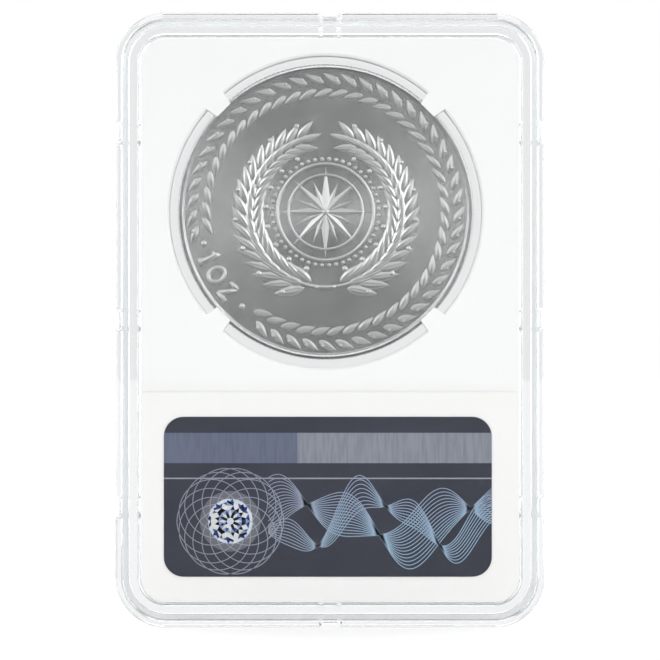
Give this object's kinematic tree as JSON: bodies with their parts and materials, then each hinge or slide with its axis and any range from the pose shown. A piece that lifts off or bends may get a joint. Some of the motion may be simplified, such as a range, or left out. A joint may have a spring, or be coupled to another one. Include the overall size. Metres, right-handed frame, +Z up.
{
  "type": "graded coin slab",
  "caption": "Sealed clear plastic coin holder: a silver coin held edge-on by prongs in a white core, above a dark security sticker, between two welded stacking shells.",
  "frame": {"origin": "middle of the foot that the slab stands on, halfway through its thickness", "axes": "+Z up along the slab's height, from the labels to the coin; +Y out of the front face; -Y out of the rear face, which carries the security sticker; +X to the right when the rear face is seen"},
  "size_m": [0.0586, 0.0078, 0.0841],
  "materials": {
    "clear_shell": "clear polished polystyrene",
    "weld": "cloudy fused polystyrene",
    "white_core": "smooth white moulding with a soft sheen",
    "silver": "struck silver with cartwheel lustre",
    "card": "coated white card",
    "dark_foil": "dark blue-grey security foil with pale line work",
    "lens_foil": "faceted glittering foil"
  },
  "bodies": {
    "root": {"rear_shell": "clear_shell", "front_shell": "clear_shell", "weld_bead": "weld", "core": "white_core", "coin": "silver", "front_card": "card", "rear_card": "card", "security_sticker": "dark_foil", "sticker_lens": "lens_foil"}
  },
  "joints": []
}
